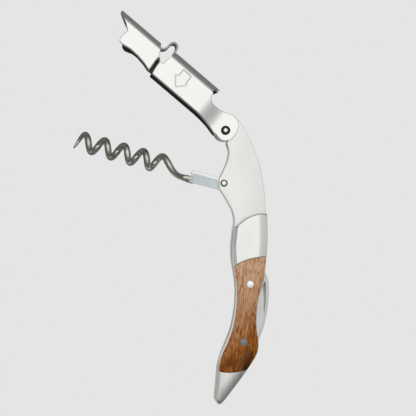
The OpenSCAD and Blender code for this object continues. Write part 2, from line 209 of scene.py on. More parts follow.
materials = dict(
    # broad pale faces that stay nearly white under the soft box
    plate=steel("satin_stainless_plate", "#edeeea", "#e6e7e3", 0.32, 0.03, 90),
    lever=steel("stamped_stainless_lever", "#f4f4f1", "#efefec", 0.26, 0.03, tool["leverAngle"]),
    bolster=steel("forged_stainless_bolster", "#f2f2ef", "#eaeae6", 0.30, 0.03, 88),
    # the tip's finish is coarser, so its turn into shade is streaked
    tip=steel("forged_stainless_tip", "#eeeeea", "#d2d2cd", 0.34, 0.05, 80, 0.5, 0.14),
    # a duller grey than the sheets that it joins
    spring=steel("satin_spring_steel", "#b4b4ae", "#9a9a94", 0.36, 0.05, tool["leverAngle"]),
    # white rivet heads, and the one that is ground flat and stays blue-grey
    rivet=steel("polished_steel_rivet", "#f6f6f4", "#f0f0ee", 0.2, 0.0, 0, 3.0, 0.0),
    dullRivet=steel("ground_steel_rivet", "#8f979b", "#5f676b", 0.42, 0.05, 30, 0.6, 0.2),
    pin=steel("ground_steel_pin", "#b8b8b4", "#a4a4a0", 0.3, 0.04, 0),
    # painted shade: dark and grey rings round the bright heads stand in for the shadow in the gaps round them
    shadeCollar=steel("painted_shade_rivet_collar", "#454543", "#333331", 0.4, 0.05, 0),
    greyShadeCollar=steel("painted_shade_grey_rivet_collar", "#8a8a87", "#6c6c6a", 0.4, 0.05, 0),
    # painted shade: a dark steel for the sheets' inner faces, where the channels' shade falls, seen past the
    # boots' open edges
    inside=steel("painted_shade_sheet_inside", "#555552", "#454543", 0.5, 0.05, tool["leverAngle"]),
    # round polished wire, so light and dark lie close together on it
    worm=steel("polished_worm_wire", "#d9dad0", "#aeafa4", 0.11, 0.04, tool["wormAngle"], 0.8, 0.06),
    # a cool blue-grey cheek beside the warmer plate
    tang=steel("milled_tang_steel", "#d2dbde", "#c4cdd1", 0.42, 0.04, tool["wormAngle"]),
    blade=steel("ground_knife_steel", "#d4d5d3", "#c3c5c4", 0.32, 0.04, 85),
    bronze=steel("rolled_bronze_washer", "#b08a4e", "#96733c", 0.35, 0.05, 0),
    wood=rosewood("oiled_rosewood_scale"),
)
print("materials made")


def gridFaces(rows, cols, closeCols=False, start=0):
    # quads of a rows x cols grid of points, numbered row by row
    i, j = np.meshgrid(np.arange(rows - 1), np.arange(cols if closeCols else cols - 1), indexing="ij")
    k = (j + 1) % cols
    quads = np.stack([i * cols + j, i * cols + k, (i + 1) * cols + k, (i + 1) * cols + j], -1)
    return quads.reshape(-1, 4) + start


def tubeFaces(rows, cols):
    # the quads round a tube of rings, and a face over each end
    ends = [list(range(cols)), list(range((rows - 1) * cols, rows * cols))]
    return list(gridFaces(rows, cols, True)) + ends


def newPiece(name, points, faces, body, look, replaces=(), smooth=35.0, drops=None):
    # a mesh of points in millimetres, doubles merged and faces turned outwards; each point may keep a drop
    mesh = bpy.data.meshes.new(name)
    mesh.from_pydata((np.asarray(points, float) * mm).tolist(), [], [list(map(int, f)) for f in faces])
    if drops is not None:
        mesh.attributes.new("drop", "FLOAT", "POINT").data.foreach_set("value", drops.astype(np.float32))
    piece = bpy.data.objects.new(name, mesh)
    bpy.context.scene.collection.objects.link(piece)
    bpy.ops.object.select_all(action="DESELECT")
    piece.select_set(True)
    bpy.context.view_layer.objects.active = piece
    bpy.ops.object.mode_set(mode="EDIT")
    bpy.ops.mesh.select_all(action="SELECT")
    bpy.ops.mesh.remove_doubles(threshold=0.002 * mm)
    bpy.ops.mesh.normals_make_consistent(inside=False)
    bpy.ops.object.mode_set(mode="OBJECT")
    mesh.materials.append(materials[look])
    mesh.shade_smooth()
    mesh.set_sharp_from_angle(angle=math.radians(smooth))
    if body:
        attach(piece, body)
    for node in replaces:
        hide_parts(node)
    return piece


def readAll(items, attribute, width, kind=np.float32):
    # one attribute of all of a mesh's items, as an array with a row for each
    values = np.empty(len(items) * width, kind)
    items.foreach_get(attribute, values)
    return values.reshape(-1, width)


def outerLoop(nodeName, z):
    # the longest closed loop round a CAD node's face at height z, in mm, counter-clockwise
    mesh = frame["nodes"][nodeName].data
    co = readAll(mesh.vertices, "co", 3).astype(float) / mm
    tris = readAll(mesh.loops, "vertex_index", 1, np.int32).reshape(-1, 3)
    key, index = np.unique(np.round(co, 3), axis=0, return_inverse=True)
    tris = index.reshape(-1)[tris]
    flat = tris[(np.abs(key[tris][:, :, 2] - z) < 0.01).all(1)]
    edges = np.concatenate([flat[:, [0, 1]], flat[:, [1, 2]], flat[:, [2, 0]]])
    have = set(map(tuple, edges))
    follow = {a: b for a, b in sorted(have) if (b, a) not in have}
    loops = []
    while follow:
        a, b = follow.popitem()
        loop = [a]
        while b in follow:
            loop.append(b)
            b = follow.pop(b)
        loops.append(key[loop][:, :2])
    length = [np.linalg.norm(np.roll(l, -1, 0) - l, axis=1).sum() for l in loops]
    loop = loops[int(np.argmax(length))]
    area = np.sum(loop[:, 0] * np.roll(loop[:, 1], -1) - np.roll(loop[:, 0], -1) * loop[:, 1])
    return loop if area > 0 else loop[::-1]


def spacedAt(line, fractions):
    # points at given fractions of a line's length
    step = np.r_[0, np.cumsum(np.linalg.norm(np.diff(line, axis=0), axis=1))]
    return np.stack([np.interp(fractions * step[-1], step, line[:, k]) for k in range(line.shape[1])], 1)


def smoothstep(t):
    # 3 t ^ 2 - 2 t ^ 3, held at 0 and 1
    t = np.clip(t, 0, 1)
    return t * t * (3 - 2 * t)


def through(points, x):
    # height of the line through a list of points, at x
    px, py = np.array(points, float).T
    return np.interp(x, px, py)


def smoothThrough(points, count=160):
    # Catmull and Rom's curve through a list of points
    p = np.array(points, float)
    p = np.vstack([2 * p[0] - p[1], p, 2 * p[-1] - p[-2]])
    t = np.linspace(0, len(points) - 1, count)
    i = np.minimum(t.astype(int), len(points) - 2)
    f = (t - i)[:, None]
    a, b, c, d = p[i], p[i + 1], p[i + 2], p[i + 3]
    return (2 * b + (c - a) * f + (2 * a - 5 * b + 4 * c - d) * f ** 2 + (3 * b - a - 3 * c + d) * f ** 3) / 2


def inset(loop, distance):
    # moves a closed loop inwards: each point along the mean of its two edges' normals
    before, after = loop - np.roll(loop, 1, 0), np.roll(loop, -1, 0) - loop
    normal = lambda e: np.stack([-e[:, 1], e[:, 0]], 1) / np.linalg.norm(e, axis=1, keepdims=True)
    mean = normal(before) + normal(after)
    mean /= np.maximum(np.linalg.norm(mean, axis=1, keepdims=True), 1e-9)
    cosine = np.maximum((mean * normal(after)).sum(1, keepdims=True), 0.5)
    return loop + mean * distance / cosine


def slabPiece(name, loop, low, high, radius, body, look, slot, replaces, steps=4):
    # a flat slab: its outline carried up the wall, in by r(1 - cos t) and up by r(1 - sin t) at both edges
    a = np.linspace(0, math.pi / 2, steps + 1)
    rings = [(radius * (1 - math.cos(t)), low + radius * (1 - math.sin(t))) for t in a[::-1]]
    rings += [(radius * (1 - math.cos(t)), high - radius * (1 - math.sin(t))) for t in a]
    points = np.concatenate([np.c_[inset(loop, e), np.full(len(loop), z)] for e, z in rings])
    return newPiece(name, points, tubeFaces(len(rings), len(loop)), body, look, replaces)


def edgeDrop(d, wide, deep, power, radius):
    # depth below the top at d from an edge: deep (1 - d / wide) ^ power, and a quarter circle of the radius
    band = deep * np.clip(1 - d / wide, 0, 1) ** power
    inner = np.clip(radius - d, 0, radius)
    return band + radius - np.sqrt(radius ** 2 - inner ** 2)


def crowd(count, power):
    # parameters 0..1 crowded near both ends: 1 - (1 - |t|) ^ power either side of the middle
    t = np.linspace(-1, 1, count)
    return (np.sign(t) * (1 - (1 - np.abs(t)) ** power) + 1) / 2


def splitLoop(loop, corners):
    # cuts a closed loop at the points nearest to the given corners
    cut = [int(np.argmin(np.linalg.norm(loop - np.array(c), axis=1))) for c in corners]
    sides = []
    for a, b in zip(cut, cut[1:] + cut[:1]):
        index = np.arange(a, b + 1 if b > a else b + len(loop) + 1) % len(loop)
        sides.append(loop[index])
    return sides


def patchPiece(name, loop, corners, rows, cols, shape, base, top, body, look, node,
               flip=False, relief=None):
    # four sides filled by Coons' rule, the top let down by the shape's edge drops and the relief; a flat base
    low, right, high, left = splitLoop(loop, corners)
    u, v = crowd(rows, shape["crowd"]), crowd(cols, shape["crowd"])
    leftSide, rightSide = spacedAt(left[::-1], u), spacedAt(right, u)
    lowSide, highSide = spacedAt(low, v), spacedAt(high[::-1], v)
    if "leftInset" in shape:
        leftSide = leftSide + np.c_[through(shape["leftInset"], leftSide[:, 1]), 0 * u]
        lowSide = lowSide + (leftSide[0] - lowSide[0]) * (1 - v)[:, None]
        highSide = highSide + (leftSide[-1] - highSide[0]) * (1 - v)[:, None]
    up, over = u[:, None, None], v[None, :, None]
    plan = ((1 - over) * leftSide[:, None] + over * rightSide[:, None]
            + (1 - up) * lowSide[None] + up * highSide[None]
            - (1 - up) * (1 - over) * lowSide[0] - (1 - up) * over * lowSide[-1]
            - up * (1 - over) * highSide[0] - up * over * highSide[-1])
    width = np.linalg.norm(plan[:, -1] - plan[:, 0], axis=1)[:, None]
    length = np.linalg.norm(plan[-1] - plan[0], axis=1)[None, :]
    up, over = u[:, None], v[None, :]
    drop = (edgeDrop(over * width, *shape["left"]) + edgeDrop((1 - over) * width, *shape["right"])
            + edgeDrop(up * length, *shape["low"]) + edgeDrop((1 - up) * length, *shape["high"]))
    if relief:
        drop = drop + relief(plan)
    drop = np.minimum(drop, top - base - 0.3)
    upper = np.dstack([plan, top - drop])
    lower = np.dstack([plan, np.full(plan.shape[:2], base)])
    n = rows * cols
    faces = list(gridFaces(rows, cols)) + list(gridFaces(rows, cols, start=n)[:, ::-1])
    ring = np.r_[np.arange(cols), np.arange(1, rows) * cols + cols - 1,
                 (rows - 1) * cols + np.arange(cols - 2, -1, -1), np.arange(rows - 2, 0, -1) * cols]
    nxt = np.roll(ring, -1)
    faces += list(np.stack([ring, nxt, nxt + n, ring + n], 1))
    points = np.concatenate([upper.reshape(-1, 3), lower.reshape(-1, 3)])
    if flip:
        points[:, 2] = tool["thickness"] - points[:, 2]
    return newPiece(name, points, faces, body, look, [node], smooth=50)


# each side: width of its sloping band in mm, its depth, the power of its curve, the radius of its edge;
# leftInset: (y, mm), how far the left side is set in from the CAD outline
scaleShape = dict(
    crowd=1.7,
    left=(2.6, 0.9, 1.6, 0.4), right=(3.0, 1.0, 1.7, 0.5),
    low=(0.5, 0.2, 1.0, 0.3), high=(0.5, 0.2, 1.0, 0.35),
    leftInset=[(-67, 0.2), (-62, 0.5), (-55, 0.75), (-45, 0.55), (-33, 0.35), (-24, 0.25)],
)
bolsterShape = dict(
    crowd=1.9,
    left=(1.35, 0.48, 1.0, 0.2), right=(3.5, 0.76, 1.15, 0.15),
    low=(0.45, 0.12, 1.0, 0.25), high=(1.1, 0.35, 1.5, 0.3),
    leftInset=[(-24, 0.25), (-8, 0.1)],
)
tipShape = dict(
    crowd=1.7,
    left=(0.9, 0.22, 1.0, 0.2), right=(7.5, 1.45, 2.1, 0.2),
    low=(2.0, 0.5, 1.6, 0.3), high=(0.5, 0.03, 1.0, 0.25),
    leftInset=[(-78, 0.1), (-67, 0.2)],
)
handle = dict(
    plateEdge=0.18,      # mm, rounding of the side plates' edges
    # where each block's outline turns from one side to the next: low left, low right, high right, high left
    bolsterCorners=[(25.1, -24.2), (38.8, -20.2), (39.3, -2.4), (25.9, -7.7)],
    scaleCorners=[(19.1, -67.4), (30.6, -67.1), (38.9, -20.2), (25.6, -24.0)],
    tipCorners=[(18.4, -80.4), (20.6, -80.6), (30.6, -67.1), (19.1, -67.4)],
)

for half, front in (("front", True), ("rear", False)):
    plateHigh = tool["plateTop"] if front else tool["thickness"] - tool["plateTop"] + tool["plateThick"]
    node = half + "_plate"
    slabPiece(half + "_plate_sheet", outerLoop(node, plateHigh), plateHigh - tool["plateThick"], plateHigh,
              handle["plateEdge"], "handle", "plate", "side_plate_steel", [node])
    faceZ = tool["thickness"] if front else 0.0
    for part, suffix, rows, cols, shape, look, slot in (
            ("bolster", "_block", 70, 60, bolsterShape, "bolster", "bolster_steel"),
            ("scale", "_wood", 150, 60, scaleShape, "wood", "scale_wood"),
            ("tip", "_block", 60, 50, tipShape, "tip", "bolster_steel")):
        node = half + "_" + part
        patchPiece(node + suffix, outerLoop(node, faceZ), handle[part + "Corners"], rows, cols, shape,
                   tool["plateTop"], tool["thickness"], "handle", look, node, flip=not front)
print("handle made")


def turned(name, centre, profile, ends, body, look, replaces=()):
    # a profile of (radius, height) carried round an upright axis; ends gives its base heights and directions
    t = np.linspace(0, 2 * math.pi, 49)[:-1]
    points, faces = [], []
    for base, way in ends:
        r, h = np.array(profile).T
        ring = np.stack([centre[0] + r[:, None] * np.cos(t), centre[1] + r[:, None] * np.sin(t),
                         base + way * h[:, None] * np.ones_like(t)], -1)
        start = len(points)
        points += list(ring.reshape(-1, 3))
        faces += list(gridFaces(len(r), len(t), True, start))
        faces.append([start + k for k in range(len(t))])
    return newPiece(name, points, faces, body, look, replaces, smooth=60)


def middle(node):
    # the middle of a CAD node's box, as (x, y) in mm
    low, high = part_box(node)
    return [(low[k] + high[k]) / 2 / mm for k in (0, 1)]


# (radius, height) in mm; each base is the height on which heads and collars stand
rivets = dict(
    leverBase=10.4, wormBase=8.9,
    lever=[(0.98, -0.6), (0.98, 0.32), (0.9, 0.42), (0.7, 0.5), (0.4, 0.56), (0, 0.58)],
    leverCollar=[(1.9, -0.2), (1.9, 0.3), (1.8, 0.45), (1.66, 0.48), (1.5, 0.3), (1.3, 0.08), (0.95, 0.0),
                 (0.95, -0.2)],
    worm=[(1.12, -0.8), (1.12, 0.2), (1.04, 0.32), (0.85, 0.4), (0.5, 0.46), (0, 0.48)],
    wormCollar=[(1.5, -0.2), (1.5, 0.12), (1.42, 0.22), (1.32, 0.22), (1.22, 0.08), (1.08, 0.02),
                (1.08, -0.2)],
    flush=[(1.5, -0.9), (1.5, 0.1), (1.44, 0.16), (1.2, 0.18), (1.1, 0.13), (1.0, 0.18), (0.5, 0.2),
           (0, 0.21)],
)
top = tool["thickness"]
for part, node, look, profile, base in (
        ("lever_rivet_heads", "lever_pivot_rivet", "rivet", "lever", rivets["leverBase"]),
        ("worm_rivet_heads", "worm_pivot_rivet", "rivet", "worm", rivets["wormBase"]),
        ("handle_rivet_heads", "handle_rivet", "rivet", "flush", top - 0.1),
        ("knife_rivet_heads", "knife_pivot_rivet", "dullRivet", "flush", top - 0.1)):
    turned(part, middle(node), rivets[profile], [(base, 1), (top - base, -1)],
           "handle", look, [node])
# collars of painted shade round the lever's and the worm's rivet heads
turned("lever_rivet_collar", middle("lever_pivot_rivet"), rivets["leverCollar"],
       [(rivets["leverBase"], 1), (top - rivets["leverBase"], -1)], "handle", "shadeCollar")
turned("worm_rivet_collar", middle("worm_pivot_rivet"), rivets["wormCollar"],
       [(rivets["wormBase"], 1), (top - rivets["wormBase"], -1)], "handle", "greyShadeCollar")
print("rivets made")


def placed(u, v, z, angle, pivot):
    # from a moving part's own axes (u along it, v towards its web side) to the tool's
    a = math.radians(angle)
    return np.stack([pivot[0] + u * math.cos(a) + v * math.sin(a),
                     pivot[1] + u * math.sin(a) - v * math.cos(a), z + 0 * u], -1)


def withDrop(points, drop):
    # points in millimetres, each with how far it is let down once the sheet is thickened
    return np.concatenate([points, np.broadcast_to(drop, points.shape[:-1])[..., None]], -1)


# u runs along the lever from its pivot, v from the open side to the web; both in mm
boot = dict(
    web=11.35, bend=(3.5, 3.5),       # where the web lies; its bends across and deep
    bendPower=1.25,                   # 1 is a quarter circle, more is straighter between two short turns
    sheet=1.2, edge=0.25,             # thickness, rounding of the edges
    earRadius=4.4, earFace=10.15,     # ears, and the height of their outer face
    stepFrom=4.0, stepTo=15.0,        # where the ears swell out to the channel's width
    webFrom=13.7, webTo=36.86,        # ends of the web
    webCut=(1.2, 0.5),                # how far its ends slope in round the bend, at the rear and at the front
    hollow=1.5, gap=0.6,              # cut out of its rear end, and of its front end for the strip
    hollowEase=(6, 3),                # z where the cut at the rear begins, and over how much it deepens
    gapHalf=3.9, gapEase=0.3,         # half the gap's width, and over how much it starts
    openEdge=2.2,                     # the channel's open edge, below the pivot line
    earTop=[(-4.4, 0.5), (-4.25, 1.6), (-3.8, 3.4), (-2.9, 5.2)],
    neckTop=[(-1.5, 6.3), (0.5, 6.9), (2, 6.8), (3.6, 6.2), (5.7, 5.35), (8.2, 4.85), (10.8, 4.8),
             (12.6, 5.5), (13.6, 6.9)],
    neckLow=[(2.6, -4.2), (4.4, -3.75), (7, -3.1), (10.6, -2.5)],
    nose=[(38.4, -1.9), (38.55, -1.0), (38.9, 1.0), (39.1, 3.9)],
    front=[(37.3, 4.0), (37.34, 3.92), (39.1, 3.92)],
    nearOut=[(9, 0), (15, 0.1)],      # (u, mm), how far the near and the far flange's open edges are let out
    farOut=[(-4.4, 0), (0, 0.05), (15, 0.12)],
    lipWide=[(-4.4, 0), (-2.5, 0.1), (0, 0.3), (12, 0.36)],    # (u, mm), width of the turned-in open edge
    lipSlope=0.85, lipEase=0.3,       # its slope, and the width over which it starts
    arrow=[(25.15, 7.4), (29.35, 7.5), (29.35, 4.15), (30.65, 3.85), (27.35, 0.0), (23.85, 3.65),
           (24.95, 3.45)],
    arrowDeep=0.13, arrowLine=0.42,
)
claw = dict(
    web=10.25, bend=(3.1, 3.1),
    tuck=1.22, tuckFrom=40.9, tuckTo=39.2,      # how far the rear end is tucked in, and where
    tuckTop=3.9, tuckEase=(5.0, 1.4),           # v of its upper end; v where it is gone, and over how much
    tuckShade=(0.45, 0.1),                           # painted shade begins this far behind the tuck's start, and further at its low end
    rear=[(-3, 38.2), (-1.0, 38.2), (3.9, 39.2), (4.6, 40.3), (7.4, 41.7), (10.25, 43.4)],    # (v, u)
    front=[(-1.2, 54.0), (-0.95, 55.6), (-0.4, 57.0), (0.4, 57.4), (2.5, 57.3), (4.9, 57.0), (10.25, 64.5)],
    openLine=[(38.2, -1.9), (41.0, -1.75), (43.1, -1.1), (47.1, -0.45), (51.3, -0.3), (54.5, -0.85),
              (57, -0.9)],
    lipWide=[(38, 0.2), (41, 0.3), (54.5, 0.3), (57, 0.15)],
    farIn=0.75,                                 # how far the far flange's open edge is set in
    farEase=(56, 9),                            # u where that ends, and over how much it fades
    short=1.6, shortFrom=45, shortOver=12,      # how much shorter the far side's front is, and from where
    shorter=0.4, shorterEase=(4.5, 5),          # more again at the open side; v from where, over how much
)


def distanceTo(line, u, v):
    # distance from each point to the nearest stretch of a line
    p = np.stack([u, v], -1)
    nearest = np.full(np.shape(u), 99.0)
    for a, b in zip(np.array(line[:-1], float), np.array(line[1:], float)):
        t = np.clip(((p - a) @ (b - a)) / ((b - a) @ (b - a) + 1e-12), 0, 1)[..., None]
        nearest = np.minimum(nearest, np.linalg.norm(p - a - t * (b - a), axis=-1))
    return nearest


def engraved(u, v):
    # depth of the arrow's line: arrowDeep (1 - (2 d / arrowLine) ^ 2), d being the distance to its outline
    away = distanceTo(boot["arrow"] + boot["arrow"][:1], u, v)
    return boot["arrowDeep"] * np.clip(1 - (2 * away / boot["arrowLine"]) ** 2, 0, 1)


def rounded(away, radius):
    # depth of a rounded edge: r - sqrt(r ^ 2 - (r - d) ^ 2) within its radius
    inner = np.clip(radius - away, 0, radius)
    return radius - np.sqrt(radius ** 2 - inner ** 2)


def turnedIn(away, wide):
    # depth of the turned-in edge: lipSlope x, x being how far past its start, eased in as (x + e) ^ 2 / 4 e
    x = wide - away
    ease = boot["lipEase"]
    eased = np.where(x > ease, x, np.clip(x + ease, 0, 2 * ease) ** 2 / (4 * ease))
    return boot["lipSlope"] * eased * np.clip(wide / 0.3, 0, 1)


def webSection(web, bend):
    # across a channel, as (v, z): a bend, the web, a bend; a bend is sin(a) ^ p across and cos(a) ^ p up,
    # which is almost straight between two short turns
    a = np.linspace(0, math.pi / 2, 42)
    sine, cosine = np.sin(a) ** boot["bendPower"], np.cos(a) ** boot["bendPower"]
    wide, deep = bend
    thick = tool["thickness"]
    return np.vstack([
        np.c_[web - wide + wide * sine, thick - deep + deep * cosine],
        np.c_[np.full(9, web), np.linspace(thick - deep, deep, 11)[1:-1]],
        np.c_[web - wide + wide * cosine, deep - deep * sine],
    ])


def onLever(u, v, z, drop):
    # from the lever's axes to the tool's, with the drops
    return withDrop(placed(u, v, z, tool["leverAngle"], leverPivot), drop)


def overStep(u):
    # 0 at the ears' height, 1 at the channel's
    return smoothstep((u - boot["stepFrom"]) / (boot["stepTo"] - boot["stepFrom"]))


def bootParts():
    # the near flange with its ear, the bent web, and the far flange, as grids along u and across v
    radius, openEdge = boot["earRadius"], boot["openEdge"]
    upper = np.vstack([boot["earTop"], smoothThrough(boot["neckTop"], 60)])
    turn = np.linspace(-0.1, 2.0, 26)
    lower = np.vstack([
        -radius * np.c_[np.cos(turn), np.sin(turn)],
        smoothThrough(boot["neckLow"] + [(14, -openEdge)], 20),
        [(38.0, -openEdge)] + boot["nose"],
    ])
    bendAt = boot["web"] - boot["bend"][0]
    x0, x1 = boot["webFrom"], boot["webTo"]
    # closer together round the ear's end, under the arrow and at the front
    xs = np.unique(np.round(np.r_[
        -4.4 + 0.9 * (1 - np.cos(np.linspace(0, math.pi / 2, 8))), np.linspace(-3.5, 13.6, 62), x0 - 0.02, x0,
        np.linspace(x0, 24, 30), np.linspace(24, 31.5, 84), np.linspace(31.5, x1, 20),
        np.linspace(x1, 37.3, 8), 37.34, np.linspace(37.4, 39.1, 12)], 4))
    frontLine = [(36.9, bendAt)] + boot["front"]
    high = np.where(xs < x0 - 0.01, through(upper, xs), bendAt)
    high = np.minimum(high, np.where(xs > x1, through([(x1, bendAt)] + frontLine, xs), 99))
    low = through(lower, xs)
    high = np.maximum(high, low + 0.001)
    q = crowd(90, 1.5)[:, None]

    def flange(letOut):
        # the flange's outer face, its open edge let out along the channel
        out = low - through(letOut, xs)
        v = out[None] * (1 - q) + high[None] * q
        u = np.broadcast_to(xs, v.shape)
        z = boot["earFace"] + (tool["thickness"] - boot["earFace"]) * overStep(u)
        fromOpen = distanceTo(np.c_[xs, out].tolist(), u, v)
        away = np.minimum(fromOpen, np.minimum(distanceTo(upper[upper[:, 0] < x0].tolist(), u, v),
                                               distanceTo(frontLine, u, v)))
        drop = rounded(away, boot["edge"]) + turnedIn(fromOpen, through(boot["lipWide"], u))
        return u, v, z, drop

    u, v, z, drop = flange(boot["nearOut"])
    near = onLever(u, v, z, drop + engraved(u, v))
    u, v, z, drop = flange(boot["farOut"])
    far = onLever(u, v, tool["thickness"] - z, -drop)
    section = webSection(boot["web"], boot["bend"])
    wx = xs[(xs >= x0 - 0.001) & (xs <= x1 + 0.001)]
    t = (wx - wx[0]) / (wx[-1] - wx[0])
    rise = (section[:, 0] - bendAt)[:, None] / boot["bend"][0]
    height = section[:, 1:]
    # the rear end is cut away over the near bend; the front end leaves a gap for the strip
    hollowAt, hollowOver = boot["hollowEase"]
    deepens = smoothstep((height - hollowAt) / hollowOver)
    hollow = boot["hollow"] * np.sin(math.pi * np.clip(rise, 0, 1)) * deepens
    fromMiddle = np.abs(height - tool["thickness"] / 2)
    gap = boot["gap"] * smoothstep((boot["gapHalf"] - fromMiddle) / boot["gapEase"])
    rearCut, frontCut = boot["webCut"]
    webU = wx[None] - (1 - t)[None] ** 6 * (rearCut * rise - hollow) - t[None] ** 8 * (frontCut * rise + gap)
    webV = np.broadcast_to(section[:, :1], webU.shape)
    webZ = np.broadcast_to(height, webU.shape)
    line = engraved(webU, webV) * (webZ > 0.5 * tool["thickness"])
    # the step's own height at the web's rear end is carried round the bend
    lift = (tool["thickness"] - boot["earFace"]) * (1 - overStep(webU))
    webZ = webZ - lift * (webZ / (0.5 * tool["thickness"]) - 1)
    return [near, onLever(webU, webV, webZ, line), far]


def clawParts():
    # the near flange, bent web and far flange; the rear end is tucked in to pass inside the first boot
    bendAt = claw["web"] - claw["bend"][0]
    rear = lambda v: through(claw["rear"], v)
    front = lambda v: through(claw["front"], v)
    frontLine = [(u, v) for v, u in claw["front"] if v < bendAt] + [(front(bendAt), bendAt)]
    rearLine = [(rear(v), v) for v in (4.0, 4.6, bendAt)]
    q = crowd(46, 1.5)[:, None]
    t = crowd(110, 1.5)[None]
    tuckGone, tuckOver = claw["tuckEase"]
    farGone, farOver = claw["farEase"]

    def flange(setIn):
        # the flange's outer face, its open edge set in except at the front
        u = rear(-1.9 * (1 - q) + bendAt * q) * (1 - t) + front(-1.0 * (1 - q) + bendAt * q) * t
        out = through(claw["openLine"], u) + setIn * smoothstep((farGone - u) / farOver)
        v = out * (1 - q) + bendAt * q
        away = np.minimum(distanceTo(claw["openLine"], u, v + out - through(claw["openLine"], u)),
                          np.minimum(distanceTo(frontLine, u, v), distanceTo(rearLine, u, v)))
        lean = through([(-2, 0.5), (0, 0.2), (claw["tuckTop"], 0)], v)
        tuck = (smoothstep((claw["tuckFrom"] - lean - u) / (claw["tuckFrom"] - claw["tuckTo"]))
                * smoothstep((tuckGone - v) / tuckOver))
        drop = rounded(away, boot["edge"]) + turnedIn(v - out, through(claw["lipWide"], u))
        return u, v, tool["thickness"] - claw["tuck"] * tuck, drop

    near = onLever(*flange(0.0))
    # the far side's front is cut a little shorter
    u, v, z, drop = flange(claw["farIn"])
    cut = smoothstep((u - claw["shortFrom"]) / claw["shortOver"])
    moreFrom, moreOver = claw["shorterEase"]
    short = cut * (claw["short"] + claw["shorter"] * smoothstep((moreFrom - v) / moreOver))
    far = onLever(u - short, v, tool["thickness"] - z, -drop)
    section = webSection(claw["web"], claw["bend"])
    sv = section[:, :1]
    webU = rear(sv) * (1 - t) + front(sv) * t
    cut = smoothstep((webU - claw["shortFrom"]) / claw["shortOver"])
    webU = webU - claw["short"] * cut * (1 - section[:, 1:] / tool["thickness"])
    webV = np.broadcast_to(sv, webU.shape)
    webZ = np.broadcast_to(section[:, 1:], webU.shape)
    return [near, onLever(webU, webV, webZ, 0), far]


def sheetPiece(name, parts, node, body):
    # grids joined along shared edges and thickened inwards to the sheet's thickness; then each point of the
    # outer face is let down by its drop, which rounds and turns in the edges and cuts the arrow's line
    points = np.concatenate([g.reshape(-1, 4) for g in parts])
    faces, start = [], 0
    for g in parts:
        faces += list(gridFaces(g.shape[0], g.shape[1], start=start))
        start += g.shape[0] * g.shape[1]
    piece = newPiece(name, points[:, :3], faces, body, "lever", [node], 40, points[:, 3])
    # the inner faces get the dark inside steel, painted shade for the channel's inside
    piece.data.materials.append(materials["inside"])
    thicken = piece.modifiers.new("solidify", "SOLIDIFY")
    thicken.thickness = boot["sheet"] * mm
    thicken.offset = -1.0
    thicken.material_offset = 1
    evaluated = piece.evaluated_get(bpy.context.evaluated_depsgraph_get())
    mesh = bpy.data.meshes.new_from_object(evaluated)
    piece.modifiers.clear()
    piece.data = mesh
    # the first half of the thickened mesh's points are the outer face's
    co = readAll(mesh.vertices, "co", 3)
    drops = readAll(mesh.attributes["drop"].data, "value", 1)[:, 0]
    outer = len(co) // 2
    co[:outer, 2] -= drops[:outer] * mm
    mesh.vertices.foreach_set("co", co.ravel())
    mesh.attributes.remove(mesh.attributes["drop"])
    mesh.shade_smooth()
    mesh.set_sharp_from_angle(angle=math.radians(50))
    return piece


def paintShadeOnTuck(piece):
    # painted shade: the tucked end, which lies in the first boot's shade, is given the dark inside steel
    faces = piece.data.polygons
    a = math.radians(tool["leverAngle"])
    offset = readAll(faces, "center", 3)[:, :2] / mm - leverPivot
    u = offset @ [math.cos(a), math.sin(a)]
    v = offset @ [math.sin(a), -math.cos(a)]
    slots = readAll(faces, "material_index", 1, np.int32)[:, 0]
    behind, slant = claw["tuckShade"]
    tucked = (v < claw["tuckTop"]) & (u < claw["tuckFrom"] - behind - slant * (claw["tuckTop"] - v))
    faces.foreach_set("material_index", np.where(tucked, 1, slots).astype(np.int32))


sheetPiece("first_boot_sheet", bootParts(), "lever_channel", "lever")
paintShadeOnTuck(sheetPiece("claw_boot_sheet", clawParts(), "lever_claw", "claw"))
print("boots made")

strip = dict(
    thick=0.8, width=7.0, corner=0.15,      # mm
    inBoot=9.7, inClaw=8.6,                 # mm from the pivot line, where it lies against each web
    flatTo=35.7, flatFrom=42.3,             # mm along the lever, the flat ends either side of the loop
    loop=[(36.45, 10.15), (36.65, 11.2), (36.8, 12.3), (37.3, 13.4), (38.3, 14.1), (39.4, 13.9),
          (40.15, 12.9), (40.3, 11.6), (40.35, 10.4), (40.95, 9.3)],
)


def ribbon(name, line, node, look):
    # a flat strip: a rounded rectangle carried along a line in the lever's plane
    path = np.array(line)
    d = np.gradient(path, axis=0)
    d /= np.linalg.norm(d, axis=1, keepdims=True)
    normal = np.stack([-d[:, 1], d[:, 0]], 1)
    r, w, h = strip["corner"], strip["width"] / 2 - strip["corner"], strip["thick"] / 2 - strip["corner"]
    corners = np.array([(h, w), (-h, w), (-h, -w), (h, -w)])[:, None]
    a = np.radians(np.array([[0], [90], [180], [270]]) + np.linspace(0, 90, 4))
    section = (corners + r * np.stack([np.cos(a), np.sin(a)], -1)).reshape(-1, 2)
    u = path[:, 0][:, None] + normal[:, 0][:, None] * section[:, 0]
    v = path[:, 1][:, None] + normal[:, 1][:, None] * section[:, 0]
    z = tool["thickness"] / 2 + np.broadcast_to(section[:, 1], u.shape)
    points = placed(u, v, z, tool["leverAngle"], leverPivot).reshape(-1, 3)
    return newPiece(name, points, tubeFaces(len(path), len(section)), None, look, [node], smooth=50)


loopLine = np.vstack([
    np.linspace((28, strip["inBoot"]), (strip["flatTo"], strip["inBoot"]), 12)[:-1],
    smoothThrough([(35.9, strip["inBoot"])] + strip["loop"] + [(41.9, strip["inClaw"])], 80),
    np.linspace((strip["flatFrom"], strip["inClaw"]), (51, strip["inClaw"]), 14),
])
stepStrip = ribbon("step_spring_strip", loopLine, "step_spring", "spring")
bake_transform(stepStrip)
print("step spring made")

